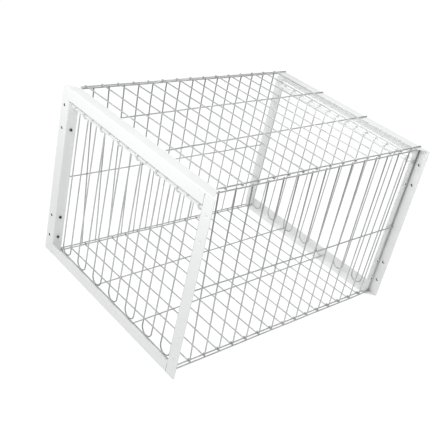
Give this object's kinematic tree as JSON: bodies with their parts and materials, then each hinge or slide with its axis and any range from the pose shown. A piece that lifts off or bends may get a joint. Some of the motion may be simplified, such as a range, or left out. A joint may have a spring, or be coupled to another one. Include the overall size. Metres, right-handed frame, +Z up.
{
  "type": "one-way wire cage",
  "caption": "Free-standing wire mesh cage with white angle end frames and a curtain of swinging one-way hairpin wires at each end.",
  "frame": {"origin": "centre of the footprint, on the ground plane under the cage", "axes": "+X to the right seen from the front entrance, +Y from the front frame to the rear frame, +Z up"},
  "size_m": [0.316, 0.406, 0.2592],
  "materials": {
    "white_powder_coat": "semi-gloss white powder coat on folded sheet steel",
    "galvanised_wire": "zinc-coated welded wire, dull grey with brighter crowns",
    "bright_spring_wire": "smooth drawn wire, brighter than the panels",
    "dark_steel": "blackened rivets and screws"
  },
  "bodies": {
    "cage": {"front_left_post": "white_powder_coat", "front_left_rivet_1": "dark_steel", "front_left_rivet_2": "dark_steel", "front_left_rivet_3": "dark_steel", "front_left_rod_screw": "dark_steel", "front_right_post": "white_powder_coat", "front_right_rivet_1": "dark_steel", "front_right_rivet_2": "dark_steel", "front_right_rivet_3": "dark_steel", "front_right_rod_screw": "dark_steel", "front_top_rail": "white_powder_coat", "front_bottom_rail": "white_powder_coat", "front_curtain_rod": "white_powder_coat", "rear_left_post": "white_powder_coat", "rear_left_rivet_1": "dark_steel", "rear_left_rivet_2": "dark_steel", "rear_left_rivet_3": "dark_steel", "rear_left_rod_screw": "dark_steel", "rear_right_post": "white_powder_coat", "rear_right_rivet_1": "dark_steel", "rear_right_rivet_2": "dark_steel", "rear_right_rivet_3": "dark_steel", "rear_right_rod_screw": "dark_steel", "rear_top_rail": "white_powder_coat", "rear_bottom_rail": "white_powder_coat", "rear_curtain_rod": "white_powder_coat", "left_side_panel": "galvanised_wire", "right_side_panel": "galvanised_wire", "floor_panel": "galvanised_wire", "roof_panel": "galvanised_wire"},
    "front_hairpin_1": {"front_hairpin_1": "bright_spring_wire"},
    "front_hairpin_2": {"front_hairpin_2": "bright_spring_wire"},
    "front_hairpin_3": {"front_hairpin_3": "bright_spring_wire"},
    "front_hairpin_4": {"front_hairpin_4": "bright_spring_wire"},
    "front_hairpin_5": {"front_hairpin_5": "bright_spring_wire"},
    "front_hairpin_6": {"front_hairpin_6": "bright_spring_wire"},
    "front_hairpin_7": {"front_hairpin_7": "bright_spring_wire"},
    "rear_hairpin_1": {"rear_hairpin_1": "bright_spring_wire"},
    "rear_hairpin_2": {"rear_hairpin_2": "bright_spring_wire"},
    "rear_hairpin_3": {"rear_hairpin_3": "bright_spring_wire"},
    "rear_hairpin_4": {"rear_hairpin_4": "bright_spring_wire"},
    "rear_hairpin_5": {"rear_hairpin_5": "bright_spring_wire"},
    "rear_hairpin_6": {"rear_hairpin_6": "bright_spring_wire"},
    "rear_hairpin_7": {"rear_hairpin_7": "bright_spring_wire"}
  },
  "joints": [
    {"name": "front_hairpin_1_swing", "type": "hinge", "parent": "cage", "child": "front_hairpin_1", "pos_m": [-0.12, -0.195, 0.2325], "axis": [1, 0, 0], "range_deg": [-2.5, 55]},
    {"name": "front_hairpin_2_swing", "type": "hinge", "parent": "cage", "child": "front_hairpin_2", "pos_m": [-0.08, -0.195, 0.2325], "axis": [1, 0, 0], "range_deg": [-2.5, 55]},
    {"name": "front_hairpin_3_swing", "type": "hinge", "parent": "cage", "child": "front_hairpin_3", "pos_m": [-0.04, -0.195, 0.2325], "axis": [1, 0, 0], "range_deg": [-2.5, 55]},
    {"name": "front_hairpin_4_swing", "type": "hinge", "parent": "cage", "child": "front_hairpin_4", "pos_m": [0, -0.195, 0.2325], "axis": [1, 0, 0], "range_deg": [-2.5, 55]},
    {"name": "front_hairpin_5_swing", "type": "hinge", "parent": "cage", "child": "front_hairpin_5", "pos_m": [0.04, -0.195, 0.2325], "axis": [1, 0, 0], "range_deg": [-2.5, 55]},
    {"name": "front_hairpin_6_swing", "type": "hinge", "parent": "cage", "child": "front_hairpin_6", "pos_m": [0.08, -0.195, 0.2325], "axis": [1, 0, 0], "range_deg": [-2.5, 55]},
    {"name": "front_hairpin_7_swing", "type": "hinge", "parent": "cage", "child": "front_hairpin_7", "pos_m": [0.12, -0.195, 0.2325], "axis": [1, 0, 0], "range_deg": [-2.5, 55]},
    {"name": "rear_hairpin_1_swing", "type": "hinge", "parent": "cage", "child": "rear_hairpin_1", "pos_m": [-0.12, 0.195, 0.2325], "axis": [-1, 0, 0], "range_deg": [-2.5, 55]},
    {"name": "rear_hairpin_2_swing", "type": "hinge", "parent": "cage", "child": "rear_hairpin_2", "pos_m": [-0.08, 0.195, 0.2325], "axis": [-1, 0, 0], "range_deg": [-2.5, 55]},
    {"name": "rear_hairpin_3_swing", "type": "hinge", "parent": "cage", "child": "rear_hairpin_3", "pos_m": [-0.04, 0.195, 0.2325], "axis": [-1, 0, 0], "range_deg": [-2.5, 55]},
    {"name": "rear_hairpin_4_swing", "type": "hinge", "parent": "cage", "child": "rear_hairpin_4", "pos_m": [0, 0.195, 0.2325], "axis": [-1, 0, 0], "range_deg": [-2.5, 55]},
    {"name": "rear_hairpin_5_swing", "type": "hinge", "parent": "cage", "child": "rear_hairpin_5", "pos_m": [0.04, 0.195, 0.2325], "axis": [-1, 0, 0], "range_deg": [-2.5, 55]},
    {"name": "rear_hairpin_6_swing", "type": "hinge", "parent": "cage", "child": "rear_hairpin_6", "pos_m": [0.08, 0.195, 0.2325], "axis": [-1, 0, 0], "range_deg": [-2.5, 55]},
    {"name": "rear_hairpin_7_swing", "type": "hinge", "parent": "cage", "child": "rear_hairpin_7", "pos_m": [0.12, 0.195, 0.2325], "axis": [-1, 0, 0], "range_deg": [-2.5, 55]}
  ]
}
